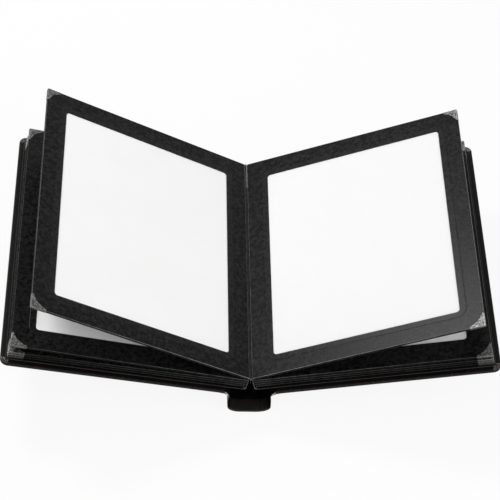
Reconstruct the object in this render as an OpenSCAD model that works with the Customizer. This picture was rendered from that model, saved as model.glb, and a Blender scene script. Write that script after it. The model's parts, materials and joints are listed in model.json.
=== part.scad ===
// Slip-in photo mat album, open on its spine, with two raised leaves.
// X runs across the open album, Y along the spine, Z up. The origin is the
// middle of the spine's underside. Every leaf and cover is drawn in the frame
// of the fold line: x is the distance out from the fold, -z the depth below it.

/* [Print slot] */
// Width of the print that a leaf holds
print_w = 203.2; // [120:0.1:260]
// Height of the print that a leaf holds
print_h = 254; // [150:0.5:330]
// How far the window mat covers each edge of the print
window_lap = 6.35; // [3:0.05:9]
// Corner radius of the window
window_r = 3.5; // [1:0.5:10]
// Thickness of the blank card behind the window
card_t = 0.5; // [0.3:0.1:1]
// Clearance above and below the card in its slot
slide_clear = 0.25; // [0.1:0.05:0.6]
// Clearance at each side of the card in its slot
side_clear = 0.4; // [0.2:0.1:1]

/* [Leaves] */
// Border of the mat beside the window
border_side = 23; // [19:0.5:40]
// Border of the mat above and below the window
border_end = 23.5; // [19:0.5:40]
// Thickness of one window mat
mat_t = 0.8; // [0.5:0.1:2]
// Gap between two closed leaves at their metal corners
leaf_gap = 0.3; // [0.1:0.05:1]
// How far each leaf's spine edge steps out from the leaf above
leaf_step = 0.3; // [0:0.05:1]
// Distance from the fold line to the top leaf's spine edge
gutter = 1.2; // [1:0.1:4]

/* [Metal corners] */
// Thickness of the corner's sheet metal
corner_t = 0.2; // [0.1:0.05:0.5]
// Distance the corner keeps from the print slot
corner_set = 1.15; // [0.5:0.05:4]
// Width of the end of each leg of the corner
corner_end = 2; // [1:0.5:7]

/* [Covers] */
// How far the cover stands out past the leaves
overhang = 6.5; // [2:0.1:12]
// Thickness of the cover board
board_t = 3.6; // [1.5:0.1:6]
// Thickness of the leatherette
wrap_t = 0.6; // [0.3:0.1:1.5]
// Thickness of the endpaper and of the turned-in edge under it
end_t = 0.5; // [0.1:0.05:0.8]
// Width of the leatherette turned in round the board's edges
turn_in = 14; // [8:1:25]
// Distance from the cover's edge to the endpaper's edge
end_inset = 5; // [3:0.5:12]
// Corner radius of the cover
cover_r = 8; // [3:0.5:20]
// Distance from the fold line to the board's spine edge
board_set = 22.5; // [20:0.5:32]

/* [Spine] */
// Height of the fold line above the spine's underside
fold_h = 47.5; // [45:0.5:70]
// How far the spine is wider than the closed covers, each side
spine_ease = 0.2; // [0:0.1:3]
// Outer radius of the spine's lower corners
spine_r = 8; // [5:0.5:12]
// Thickness of the spine board
spine_board_t = 2.4; // [1.5:0.1:4]
// Thickness of the spine's lining
lining_t = 0.3; // [0.1:0.05:0.8]

/* [Joints] */
// Distance from the fold line to the cover's crease, along the cover
crease_set = 16.4; // [12:0.1:18]
// Depth of the cover's crease below the cover's outer face
crease_drop = 2.2; // [0.8:0.1:3]
// Thickness of the joint strip at each side of the spine
strip_t = 1; // [0.6:0.1:2]
// Radius of the strip's rolled top edge at the crease
roll_r = 0.6; // [0.5:0.05:1.2]
// Clearance round the rolled top edge
roll_clear = 0.35; // [0.2:0.05:1]
// Gap between the strip's foot and the spine's wall
foot_gap = 0.9; // [0.9:0.05:3]

/* [Tapes] */
// Thickness of the cloth tapes
tape_t = 0.3; // [0.2:0.05:0.6]
// Gap between a tape and the leaf edge beside it
tape_gap = 0.25; // [0.2:0.05:0.5]
// Width of the tape's foot under the leaves
tape_foot = 2.5; // [1:0.5:8]
// Thickness of the centre fold tape, which is double
fold_t = 0.8; // [0.4:0.1:1]
// Height of the centre fold tape
fold_drop = 7; // [3:0.5:7]

/* [Pose at rest] */
// Angle of both covers above the horizontal
open_angle = 11; // [0:0.5:30]
// Lift of the left raised leaf above the leaf under it
left_lift = 14.8; // [5:0.1:40]
// Lift of the right raised leaf above the leaf under it
right_lift = 11.3; // [5:0.1:40]
// Lift of the left second leaf above the stack
left_fan = 1.9; // [0.2:0.1:4]
// Lift of the right second leaf above the stack
right_fan = 0.6; // [0.2:0.1:4]

/* [Hidden] */
$fn = 48;
eps = 0.05;
leaves = 5;
// The first leaf that the block tape carries: the leaves above it have guards
block_top = 3;
left = -1;
right = 1;

// Leaf
window_w = print_w - 2 * window_lap;
window_h = print_h - 2 * window_lap;
leaf_w = window_w + 2 * border_side;
leaf_h = window_h + 2 * border_end;
slot_t = card_t + 2 * slide_clear;
leaf_t = 2 * mat_t + slot_t;
rim_side = border_side - window_lap - side_clear;
rim_end = border_end - window_lap - side_clear;
pitch = leaf_t + 2 * corner_t + leaf_gap;
top_set = corner_t + leaf_gap;
corner_leg = border_side - window_lap - corner_set;

// Depths below the fold line, through the stack and the cover
stack_d = top_set + (leaves - 1) * pitch + leaf_t;
foot_d = stack_d + corner_t;
end_d = foot_d + tape_t;
board_d = end_d + end_t;
wrap_d = board_d + board_t;
cover_d = wrap_d + wrap_t;

// Cover
cover_out = edge_in(leaves) + leaf_w + overhang;
cover_h = leaf_h + 2 * overhang;
board_out = cover_out - wrap_t;
board_h = cover_h - 2 * wrap_t;
board_r = cover_r - wrap_t;

// Crease between cover and joint strip, in the cover's frame and in the room's
crease_d = cover_d + crease_drop;
crease_x = crease_set * cos(open_angle) + crease_d * sin(open_angle);
crease_z = fold_h + crease_set * sin(open_angle) - crease_d * cos(open_angle);

// Spine
spine_half = cover_d + spine_ease;
foot_x = spine_half - strip_t / 2;
foot_z = spine_r + foot_gap;

cloth = [0.30, 0.31, 0.30];
leatherette = [0.10, 0.09, 0.09];
card_black = [0.14, 0.14, 0.14];
card_white = [0.95, 0.95, 0.94];
greyboard = [0.45, 0.42, 0.38];
steel = [0.55, 0.55, 0.54];

// ---- where things lie ----

// Leaf 1 is the raised leaf and leaf 5 lies on the cover.
function edge_in(n) = gutter + (n - 1) * leaf_step;
function top_d(n) = top_set + (n - 1) * pitch;
function fan(side) = side == left ? left_fan : right_fan;
function lift(side) = side == left ? left_lift : right_lift;
function rise(side, n) = n == 1 ? fan(side) + lift(side) : n == 2 ? fan(side) : 0;

// The frame of the fold line on one side, turned up by an angle
module from_fold(side, angle) {
    mirror([side == left ? 1 : 0, 0, 0])
        translate([0, 0, fold_h])
            rotate([0, -angle, 0])
                children();
}

module on_cover(side) {
    from_fold(side, open_angle) children();
}

module on_leaf(side, n) {
    from_fold(side, open_angle + rise(side, n)) children();
}

// A flat outline in x and y, laid from depth d down over a thickness t
module layer(d, t) {
    translate([0, 0, -d - t])
        linear_extrude(t)
            children();
}

// A profile in x and z, drawn along the spine over a length
module along_spine(length) {
    rotate([90, 0, 0])
        linear_extrude(length, center = true)
            children();
}

// A straight bar of thickness t between two points of a profile
module bar(p, q, t) {
    run = q - p;
    translate(p)
        rotate(atan2(run[1], run[0]))
            translate([0, -t / 2])
                square([norm(run), t]);
}

module round_rect(w, h, r) {
    square([w - 2 * r, h], center = true);
    square([w, h - 2 * r], center = true);
    for (x = [-1, 1], y = [-1, 1])
        translate([x * (w / 2 - r), y * (h / 2 - r)])
            circle(r);
}

// A rectangle from x0 to x1 whose two outer corners are round
module cover_outline(x0, x1, h, r) {
    translate([x0, -h / 2])
        square([x1 - x0 - r, h]);
    translate([x0, -h / 2 + r])
        square([x1 - x0, h - 2 * r]);
    for (y = [-1, 1])
        translate([x1 - r, y * (h / 2 - r)])
            circle(r);
}

// ---- spine ----

// The room inside the spine's skin, drawn in by an inset, up to the walls' top
module spine_room(inset) {
    flat = spine_half - spine_r;
    intersection() {
        union() {
            translate([-flat, inset])
                square([2 * flat, spine_r]);
            for (x = [-flat, flat])
                translate([x, spine_r])
                    circle(spine_r - inset);
        }
        translate([-spine_half, 0])
            square([2 * spine_half, spine_r]);
    }
}

module spine_layer(outer, inner) {
    along_spine(cover_h)
        difference() {
            spine_room(outer);
            intersection() {
                spine_room(inner);
                translate([-spine_half, inner])
                    square([2 * spine_half, spine_r]);
            }
        }
}

module spine_cover() {
    color(leatherette)
        spine_layer(0, wrap_t);
}

module spine_board() {
    color(greyboard)
        spine_layer(wrap_t, wrap_t + spine_board_t);
}

module spine_lining() {
    color(leatherette)
        spine_layer(wrap_t + spine_board_t, wrap_t + spine_board_t + lining_t);
}

module joint_strip(side) {
    color(leatherette)
        mirror([side == left ? 1 : 0, 0, 0])
            along_spine(cover_h) {
                translate([crease_x, crease_z])
                    circle(roll_r);
                bar([crease_x, crease_z], [foot_x, foot_z], strip_t);
            }
}

// The doubled tape that stands under the fold line, with a round upper edge
module fold_tape() {
    color(cloth)
        along_spine(leaf_h) {
            translate([0, fold_h - fold_t])
                circle(fold_t / 2);
            translate([-fold_t / 2, fold_h - fold_drop])
                square([fold_t, fold_drop - fold_t]);
        }
}

// ---- covers ----

module board_solid() {
    layer(board_d + end_t, board_t - end_t)
        cover_outline(board_set, board_out, board_h, board_r);
    layer(board_d, end_t + eps)
        translate([board_set, -board_h / 2 + turn_in])
            square([board_out - board_set - turn_in, board_h - 2 * turn_in]);
}

module cover_board(side) {
    color(greyboard)
        on_cover(side)
            board_solid();
}

module cover_wrap(side) {
    color(leatherette)
        on_cover(side) {
            difference() {
                layer(board_d, board_t + wrap_t)
                    cover_outline(board_set, cover_out, cover_h, cover_r);
                board_solid();
            }
            along_spine(cover_h)
                bar([crease_set + roll_r + roll_clear, -crease_d],
                    [board_set + wrap_t, -wrap_d - wrap_t / 2], wrap_t);
        }
}

module endpaper(side) {
    color(card_black)
        on_cover(side)
            layer(end_d, end_t)
                translate([tape_x(foot_d), -cover_h / 2 + end_inset])
                    square([cover_out - end_inset - tape_x(foot_d), cover_h - 2 * end_inset]);
}

// The middle of the block tape at a depth: it leans as the leaves' edges step
function tape_x(d) =
    edge_in(block_top) - tape_gap - tape_t / 2
    + (d - top_d(block_top) - leaf_t) * leaf_step / pitch;

module block_tape(side) {
    color(cloth)
        on_cover(side) {
            along_spine(leaf_h)
                bar([tape_x(top_d(block_top)), -top_d(block_top)],
                    [tape_x(end_d), -end_d + eps], tape_t);
            layer(foot_d, tape_t)
                translate([tape_x(foot_d), -leaf_h / 2])
                    square([tape_foot, leaf_h]);
        }
}

// ---- leaves ----

module guard(side, n) {
    color(cloth)
        on_leaf(side, n)
            layer(top_d(n), pitch - tape_gap)
                translate([edge_in(n) - tape_gap - tape_t, -leaf_h / 2])
                    square([tape_t, leaf_h]);
}

module leaf_outline(n) {
    translate([edge_in(n), -leaf_h / 2])
        square([leaf_w, leaf_h]);
}

module mat_outline(n) {
    difference() {
        leaf_outline(n);
        translate([edge_in(n) + leaf_w / 2, 0])
            round_rect(window_w, window_h, window_r);
    }
}

module front_mat(side, n) {
    color(card_black)
        on_leaf(side, n)
            layer(top_d(n), mat_t)
                mat_outline(n);
}

// The back mat carries the rim that spaces the mats on three sides. The slot
// between them is open at the far end, where the card slides out.
module back_mat(side, n) {
    color(card_black)
        on_leaf(side, n) {
            layer(top_d(n) + mat_t + slot_t, mat_t)
                mat_outline(n);
            layer(top_d(n) + mat_t, slot_t)
                difference() {
                    leaf_outline(n);
                    translate([edge_in(n) + rim_side, -leaf_h / 2 + rim_end])
                        square([leaf_w - 2 * rim_side, leaf_h]);
                }
        }
}

module card(side, n) {
    color(card_white)
        on_leaf(side, n)
            layer(top_d(n) + mat_t + slide_clear, card_t)
                translate([edge_in(n) + leaf_w / 2, 0])
                    square([print_w, print_h], center = true);
}

// One corner's outline, with the leaf's corner at the origin
module corner_outline() {
    difference() {
        translate([-corner_leg, -corner_leg])
            square(corner_leg + corner_t);
        translate([-corner_leg, -corner_leg])
            circle(corner_leg - corner_end);
    }
}

module corners(side, n) {
    color(steel)
        on_leaf(side, n)
            difference() {
                for (y = [-1, 1])
                    scale([1, y, 1])
                        layer(top_d(n) - corner_t, leaf_t + 2 * corner_t)
                            translate([edge_in(n) + leaf_w, leaf_h / 2])
                                corner_outline();
                layer(top_d(n), leaf_t)
                    leaf_outline(n);
            }
}

spine_cover();
spine_board();
spine_lining();
fold_tape();
joint_strip(left);  // left_joint_strip
joint_strip(right);  // right_joint_strip
cover_board(left);  // left_cover_board
cover_wrap(left);  // left_cover_wrap
endpaper(left);  // left_endpaper
block_tape(left);  // left_block_tape
cover_board(right);  // right_cover_board
cover_wrap(right);  // right_cover_wrap
endpaper(right);  // right_endpaper
block_tape(right);  // right_block_tape
guard(left, 1);  // left_guard_1
guard(left, 2);  // left_guard_2
guard(right, 1);  // right_guard_1
guard(right, 2);  // right_guard_2
front_mat(left, 1);  // left_front_mat_1
back_mat(left, 1);  // left_back_mat_1
card(left, 1);  // left_card_1
corners(left, 1);  // left_corners_1
front_mat(left, 2);  // left_front_mat_2
back_mat(left, 2);  // left_back_mat_2
card(left, 2);  // left_card_2
corners(left, 2);  // left_corners_2
front_mat(left, 3);  // left_front_mat_3
back_mat(left, 3);  // left_back_mat_3
card(left, 3);  // left_card_3
corners(left, 3);  // left_corners_3
front_mat(left, 4);  // left_front_mat_4
back_mat(left, 4);  // left_back_mat_4
card(left, 4);  // left_card_4
corners(left, 4);  // left_corners_4
front_mat(left, 5);  // left_front_mat_5
back_mat(left, 5);  // left_back_mat_5
card(left, 5);  // left_card_5
corners(left, 5);  // left_corners_5
front_mat(right, 1);  // right_front_mat_1
back_mat(right, 1);  // right_back_mat_1
card(right, 1);  // right_card_1
corners(right, 1);  // right_corners_1
front_mat(right, 2);  // right_front_mat_2
back_mat(right, 2);  // right_back_mat_2
card(right, 2);  // right_card_2
corners(right, 2);  // right_corners_2
front_mat(right, 3);  // right_front_mat_3
back_mat(right, 3);  // right_back_mat_3
card(right, 3);  // right_card_3
corners(right, 3);  // right_corners_3
front_mat(right, 4);  // right_front_mat_4
back_mat(right, 4);  // right_back_mat_4
card(right, 4);  // right_card_4
corners(right, 4);  // right_corners_4
front_mat(right, 5);  // right_front_mat_5
back_mat(right, 5);  // right_back_mat_5
card(right, 5);  // right_card_5
corners(right, 5);  // right_corners_5
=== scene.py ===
"""Looks of a slip-in photo mat album standing open on its hollow spine, in Blender 4.5."""
import json
import math

import bmesh
import bpy
import numpy as np
from mathutils import Matrix, Vector
from mathutils.bvhtree import BVHTree


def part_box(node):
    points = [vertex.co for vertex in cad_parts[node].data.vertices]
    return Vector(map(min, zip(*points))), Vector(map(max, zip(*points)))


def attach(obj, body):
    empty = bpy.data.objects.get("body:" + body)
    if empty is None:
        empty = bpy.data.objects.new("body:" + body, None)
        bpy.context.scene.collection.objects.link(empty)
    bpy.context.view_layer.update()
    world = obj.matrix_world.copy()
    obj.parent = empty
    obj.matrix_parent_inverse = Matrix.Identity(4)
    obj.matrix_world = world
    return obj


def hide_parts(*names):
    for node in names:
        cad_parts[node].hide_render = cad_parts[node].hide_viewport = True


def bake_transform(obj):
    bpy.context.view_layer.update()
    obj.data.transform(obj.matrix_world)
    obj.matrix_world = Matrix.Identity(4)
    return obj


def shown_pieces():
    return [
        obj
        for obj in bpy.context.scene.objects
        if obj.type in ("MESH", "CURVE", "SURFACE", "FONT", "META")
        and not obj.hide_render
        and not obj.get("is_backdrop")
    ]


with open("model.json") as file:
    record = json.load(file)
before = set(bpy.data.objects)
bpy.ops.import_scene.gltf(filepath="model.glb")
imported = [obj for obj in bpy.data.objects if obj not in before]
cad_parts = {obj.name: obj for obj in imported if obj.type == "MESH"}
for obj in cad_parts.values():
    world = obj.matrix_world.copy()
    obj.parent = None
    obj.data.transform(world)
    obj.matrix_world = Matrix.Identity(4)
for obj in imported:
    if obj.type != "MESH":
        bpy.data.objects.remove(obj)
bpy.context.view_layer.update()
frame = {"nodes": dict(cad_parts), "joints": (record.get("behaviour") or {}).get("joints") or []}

MM = 0.001
SIDES = {"left": -1, "right": 1}
LEAVES = range(1, 6)
FOLD = Vector(next(j["pos_m"] for j in frame["joints"] if j["name"] == "left_cover_hinge"))

# ---- the photograph's frame: the only pixel coordinates ----

IMAGE_SIZE = 500
OBJECT_SIDES = {"left": 1.5, "right": 499.5, "top": 88.4, "bottom": 411.4}
IMAGE_POINTS = {
    "left_leaf_near": (31.5, 306.0),
    "left_leaf_far": (48.6, 88.4),
    "right_leaf_near": (486.0, 326.0),
    "right_leaf_far": (456.0, 108.7),
    "left_window_near_outer": (54.5, 293.4),
    "left_window_near_inner": (229.7, 353.0),
    "left_window_far_inner": (227.8, 173.7),
    "left_window_far_outer": (67.4, 112.1),
    "right_window_near_outer": (460.0, 311.5),
    "right_window_near_inner": (272.7, 354.2),
    "right_window_far_inner": (267.0, 175.0),
    "right_window_far_outer": (437.2, 129.7),
    "fold_near": (250.6, 383.7),
    "left_line": (142.0, 329.2),
}

# ---- camera, settled by the leaves' and windows' points ----

CAMERA_AZIMUTH = math.radians(-4.455)
CAMERA_ELEVATION = math.radians(49.745)
CAMERA_ROLL = math.radians(4.407)
CAMERA_DISTANCE = 1.8226
CAMERA_LENS = 125.222
CAMERA_SENSOR = 36.0
CAMERA_FAR = 20.0
CAMERA_AIM = Vector((0.00229, 0.02192, FOLD.z))


def make_camera():
    data = bpy.data.cameras.new("camera")
    data.lens = CAMERA_LENS
    data.sensor_width = CAMERA_SENSOR
    data.sensor_fit = "AUTO"
    data.clip_end = CAMERA_FAR
    camera = bpy.data.objects.new("camera", data)
    bpy.context.scene.collection.objects.link(camera)
    back = Vector((math.sin(CAMERA_AZIMUTH) * math.cos(CAMERA_ELEVATION),
                   -math.cos(CAMERA_AZIMUTH) * math.cos(CAMERA_ELEVATION),
                   math.sin(CAMERA_ELEVATION)))
    level = Vector((0, 0, 1)).cross(back).normalized()
    rise = back.cross(level)
    across = math.cos(CAMERA_ROLL) * level + math.sin(CAMERA_ROLL) * rise
    upward = back.cross(across)
    turn = Matrix((across, upward, back)).transposed()
    camera.matrix_world = Matrix.Translation(CAMERA_AIM + CAMERA_DISTANCE * back) @ turn.to_4x4()
    bpy.context.scene.camera = camera
    bpy.context.view_layer.update()
    return camera


camera = make_camera()


def pixel_ray(point):
    """Where the camera stands, and its direction through an image point."""
    data = camera.data
    x = point[0] - IMAGE_SIZE / 2 + data.shift_x * IMAGE_SIZE
    y = IMAGE_SIZE / 2 - point[1] + data.shift_y * IMAGE_SIZE
    axes = camera.matrix_world.to_3x3()
    away = Vector((x, y, -IMAGE_SIZE * data.lens / data.sensor_width))
    return camera.matrix_world.translation, (axes @ away).normalized()


def pixel_of(place):
    """The image point at which a place in the row's frame shows."""
    data = camera.data
    seen = camera.matrix_world.inverted() @ Vector(place)
    scale = IMAGE_SIZE * data.lens / data.sensor_width / -seen.z
    return (IMAGE_SIZE / 2 + seen.x * scale - data.shift_x * IMAGE_SIZE,
            IMAGE_SIZE / 2 - seen.y * scale + data.shift_y * IMAGE_SIZE)


def put_at(point, vertices, faces):
    """The place on a finished surface that an image point shows, or the nearest to its ray."""
    start, away = pixel_ray(point)
    hit = BVHTree.FromPolygons(vertices, faces).ray_cast(start, away)[0]
    if hit is not None:
        return hit
    return min(vertices, key=lambda v: (v - start).cross(away).length)


# ---- frames of the flat pieces: out from the fold, along the spine, up from the page ----

class Flat:
    """The frame of one cover or leaf, measured from its CAD node."""

    def __init__(self, side, node):
        mesh = frame["nodes"][node].data
        widest = max(mesh.polygons, key=lambda p: p.area)
        self.up = widest.normal.copy()
        if self.up.z < 0:
            self.up.negate()
        self.along = Vector((0, 1, 0))
        self.out = SIDES[side] * self.along.cross(self.up)
        self.axes = np.array([self.out, self.along, self.up])

    def place(self, points):
        """Row-frame places of points given as millimetres out, along and up."""
        return np.asarray(points, float) * MM @ self.axes + np.array(FOLD)

    def measure(self, places):
        """Millimetres out, along and up of places in the row's frame."""
        return (np.asarray(places, float) - np.array(FOLD)) @ self.axes.T / MM

    def reach(self, node):
        """A node's lowest and highest corner in this frame, in millimetres."""
        seen = self.measure([v.co for v in frame["nodes"][node].data.vertices])
        return seen.min(0), seen.max(0)


# ---- mesh building ----

SHARP_ANGLE = math.radians(40)


def rect_loop(low, high, radii, steps):
    """A rectangle with round corners, with as many points whatever its radii are."""
    (s0, y0), (s1, y1) = low, high
    corners = ((s1, y0, -1, 1), (s1, y1, -1, -1), (s0, y1, 1, -1), (s0, y0, 1, 1))
    points = []
    for index, ((x, y, dx, dy), r) in enumerate(zip(corners, radii)):
        for step in range(steps + 1):
            a = math.pi / 2 * (index - 1 + step / steps)
            points.append((x + dx * r + r * math.cos(a), y + dy * r + r * math.sin(a)))
    return np.array(points)


def ring(points, up):
    """A flat loop's points with their heights."""
    return np.column_stack([points, np.broadcast_to(up, len(points))])


def loft(rings, closed=False, capped=True):
    """Quads between rings of as many points, closed on themselves or with a face at each end."""
    count = len(rings[0])
    vertices = np.concatenate(rings)
    pairs = list(zip(range(len(rings)), range(1, len(rings))))
    if closed:
        pairs.append((len(rings) - 1, 0))
    faces = []
    for a, b in pairs:
        for i in range(count):
            j = (i + 1) % count
            faces.append((a * count + i, a * count + j, b * count + j, b * count + i))
    if capped and not closed:
        faces.append(tuple(range(count)))
        faces.append(tuple((len(rings) - 1) * count + i for i in reversed(range(count))))
    return vertices, faces


def join(*shells):
    """Several shells as the vertices and faces of one."""
    vertices, faces, start = [], [], 0
    for points, polygons in shells:
        vertices.append(points)
        faces += [tuple(i + start for i in face) for face in polygons]
        start += len(points)
    return np.concatenate(vertices), faces


def piece(name, shell, material, body, slot, replaced=(), smooth=True, **marks):
    """One finished object in the row's frame, with a float attribute for each mark."""
    vertices, faces = shell
    mesh = bpy.data.meshes.new(name)
    mesh.from_pydata([tuple(v) for v in vertices], [], faces)
    edit = bmesh.new()
    edit.from_mesh(mesh)
    bmesh.ops.recalc_face_normals(edit, faces=edit.faces)
    edit.to_mesh(mesh)
    edit.free()
    for mark, values in marks.items():
        mesh.attributes.new(mark, "FLOAT", "POINT").data.foreach_set("value", np.asarray(values, np.float32))
    mesh.polygons.foreach_set("use_smooth", [smooth] * len(mesh.polygons))
    if smooth:
        mesh.set_sharp_from_angle(angle=SHARP_ANGLE)
    thing = bpy.data.objects.new(name, mesh)
    bpy.context.scene.collection.objects.link(thing)
    mesh.materials.append(material)
    if smooth:
        weighted = thing.modifiers.new("weighted", "WEIGHTED_NORMAL")
        weighted.keep_sharp = True
    if body:
        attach(thing, body)
    if replaced:
        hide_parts(*replaced)
    return thing


# ---- materials ----

class Look:
    """A procedural material: its nodes are added and linked by short calls."""

    def __init__(self, name, roughness, specular, metallic=0.0):
        self.material = bpy.data.materials.new(name)
        self.material.use_nodes = True
        self.tree = self.material.node_tree
        self.shader = self.tree.nodes["Principled BSDF"]
        self.shader.inputs["Specular IOR Level"].default_value = specular
        self.shader.inputs["Metallic"].default_value = metallic
        self.shader.inputs["Roughness"].default_value = roughness
        self.coordinates = self.tree.nodes.new("ShaderNodeTexCoord").outputs["Object"]

    def add(self, kind, values=(), **properties):
        node = self.tree.nodes.new(kind)
        for key, value in properties.items():
            setattr(node, key, value)
        for key, value in dict(values).items():
            if isinstance(value, bpy.types.NodeSocket):
                self.tree.links.new(value, node.inputs[key])
            else:
                node.inputs[key].default_value = value
        return node

    def stretch(self, x, y, z):
        return self.add("ShaderNodeMapping", {"Vector": self.coordinates, "Scale": (x, y, z)}).outputs[0]

    def noise(self, size_mm, detail=4.0, roughness=0.55, vector=None):
        values = {"Vector": vector or self.coordinates, "Scale": 1000 / size_mm,
                  "Detail": detail, "Roughness": roughness}
        return self.add("ShaderNodeTexNoise", values).outputs["Fac"]

    def cells(self, size_mm, feature="F1", vector=None):
        values = {"Vector": vector or self.coordinates, "Scale": 1000 / size_mm}
        return self.add("ShaderNodeTexVoronoi", values, feature=feature).outputs["Distance"]

    def mark(self, name):
        return self.add("ShaderNodeAttribute", attribute_name=name).outputs["Fac"]

    def sum(self, kind, a, b, c=0.5):
        return self.add("ShaderNodeMath", {0: a, 1: b, 2: c}, operation=kind).outputs[0]

    def span(self, value, low, high, to_low=0.0, to_high=1.0):
        values = {"Value": value, "From Min": low, "From Max": high, "To Min": to_low, "To Max": to_high}
        return self.add("ShaderNodeMapRange", values).outputs[0]

    def blend(self, share, a, b):
        colours = [(*c, 1) if isinstance(c, tuple) else c for c in (a, b)]
        node = self.add("ShaderNodeMix", {0: share}, data_type="RGBA")
        for socket, colour in zip((6, 7), colours):
            if isinstance(colour, bpy.types.NodeSocket):
                self.tree.links.new(colour, node.inputs[socket])
            else:
                node.inputs[socket].default_value = colour
        return node.outputs[2]

    def relief(self, height, depth_mm, strength=1.0, over=None):
        values = {"Height": height, "Distance": depth_mm * MM, "Strength": strength}
        if over is not None:
            values["Normal"] = over
        return self.add("ShaderNodeBump", values).outputs[0]

    def finish(self, colour, roughness=None, normal=None):
        self.tree.links.new(colour, self.shader.inputs["Base Color"])
        if roughness is not None:
            self.tree.links.new(roughness, self.shader.inputs["Roughness"])
        if normal is not None:
            self.tree.links.new(normal, self.shader.inputs["Normal"])
        return self.material


def black_card():
    """Matt black card with a mottled tooth, a greyer band at the window, painted reflected light on the lower
    leaves and a painted highlight along its edges, broken up by scuffs.
    """
    look = Look("black_card", 0.29, 0.092)
    tooth = look.noise(1.9, 5, 0.68)
    mottle = look.noise(4.2, 6, 0.78)
    face = look.blend(look.span(mottle, 0.46, 0.6), (0.0003, 0.0003, 0.0003), (0.0150, 0.0146, 0.0141))
    # the panel mark also carries each leaf's painted reflected light
    panel_and_leaf_light = look.sum("MULTIPLY", look.mark("panel_and_leaf_light"), 0.32)
    face = look.blend(panel_and_leaf_light, face, (0.0170, 0.0165, 0.0160))
    dark = look.noise(1.2, 4, 0.65, look.stretch(0.4, 0.4, 5))
    core = look.blend(look.span(dark, 0.3, 0.7), (0.0010, 0.0010, 0.0010), (0.0040, 0.0038, 0.0035))
    face = look.blend(look.mark("core"), face, core)
    # a painted highlight along the cut edges, broken up by scuffs
    scuffed = look.span(look.noise(9, 5, 0.7), 0.36, 0.6, 0.35, 1.0)
    edge_highlight = look.sum("MULTIPLY", look.mark("cut"), scuffed)
    colour = look.blend(edge_highlight, face, (0.40, 0.40, 0.39))
    gloss = look.span(mottle, 0.36, 0.64, 0.24, 0.34)
    return look.finish(colour, gloss, look.relief(tooth, 0.05, 0.5))


def white_card():
    """Smooth white card with a faint cloud of tone."""
    look = Look("white_card", 0.5, 0.2)
    cloud = look.noise(70, 3)
    colour = look.blend(look.span(cloud, 0.35, 0.65), (0.922, 0.922, 0.918), (0.936, 0.936, 0.933))
    grain = look.noise(0.4, 2)
    return look.finish(colour, look.span(cloud, 0.3, 0.7, 0.45, 0.55), look.relief(grain, 0.012, 0.5))


def leatherette():
    """Near-black leatherette with a pebbled grain, browner where rubbed and lifted by painted light at the
    spine's ends, with painted highlights on its pleats and at its cut ends.
    """
    look = Look("leatherette", 0.42, 0.1)
    pebbles = look.cells(1.25, "SMOOTH_F1")
    creases = look.noise(2.8, 6, 0.6)
    tone = look.noise(18, 5, 0.6)
    base = look.blend(look.span(tone, 0.35, 0.65), (0.0030, 0.0024, 0.0022), (0.0072, 0.0054, 0.0048))
    grain = look.blend(look.span(pebbles, 0.15, 0.75), base, (0.0020, 0.0016, 0.0015))
    # browner where rubbed; at the spine's ends this lift is painted light
    rubbed_and_lit = look.sum("MULTIPLY", look.mark("wear"), look.span(look.noise(2.6, 5, 0.7), 0.5, 0.66))
    colour = look.blend(rubbed_and_lit, grain, (0.030, 0.021, 0.019))
    # a painted highlight on the pleats' ridges
    pleat_highlight = look.sum("MULTIPLY", look.mark("pleat"), look.span(look.noise(1.5, 3, 0.7), 0.46, 0.58))
    colour = look.blend(pleat_highlight, colour, (0.42, 0.40, 0.39))
    # a painted highlight at the cut ends
    cut = look.sum("MULTIPLY", look.mark("cut"), look.span(look.noise(0.9, 4), 0.3, 0.5, 0.6, 1.0))
    colour = look.blend(cut, colour, (0.72, 0.71, 0.69))
    gloss = look.span(pebbles, 0.1, 0.8, 0.34, 0.52)
    skin = look.relief(look.sum("SUBTRACT", 1.0, pebbles), 0.11, 0.7)
    return look.finish(colour, gloss, look.relief(creases, 0.14, 0.5, skin))


def end_paper():
    """Black lining paper, lightly scuffed, with a painted highlight at its cut edge."""
    look = Look("endpaper", 0.55, 0.08)
    fibre = look.noise(1.4, 5, 0.65, look.stretch(1, 0.22, 1))
    scuff = look.noise(12, 6, 0.72)
    colour = look.blend(look.span(scuff, 0.4, 0.7), (0.0030, 0.0030, 0.0031), (0.0115, 0.0112, 0.0108))
    # a painted highlight at the cut edge
    colour = look.blend(look.mark("cut"), colour, (0.075, 0.072, 0.066))
    return look.finish(colour, look.span(scuff, 0.35, 0.7, 0.48, 0.66), look.relief(fibre, 0.03, 0.5))


def hollow_lining():
    """Dead-matt black lining of the hollow back, made darker still as painted shade, faintly ribbed across.
    """
    look = Look("hollow_lining", 0.8, 0.03)
    ribs = look.noise(1.0, 4, 0.6, look.stretch(0.2, 1, 0.2))
    dust = look.noise(7, 6, 0.75)
    # the colour is kept darker as painted shade of the hollow
    colour = look.blend(look.span(dust, 0.5, 0.75), (0.0016, 0.0016, 0.0013), (0.0060, 0.0058, 0.0052))
    return look.finish(colour, look.span(dust, 0.3, 0.7, 0.72, 0.86), look.relief(ribs, 0.05, 0.5))


def greyboard():
    """Dense grey board of pressed fibre."""
    look = Look("greyboard", 0.85, 0.2)
    layers = look.noise(2.2, 5, 0.7, look.stretch(1, 1, 3))
    flecks = look.noise(0.7, 2)
    base = look.blend(look.span(layers, 0.3, 0.7), (0.33, 0.31, 0.28), (0.47, 0.44, 0.40))
    colour = look.blend(look.span(flecks, 0.62, 0.72, 0, 0.6), base, (0.20, 0.18, 0.16))
    return look.finish(colour, look.span(layers, 0.2, 0.8, 0.8, 0.92), look.relief(layers, 0.08, 0.6))


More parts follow.
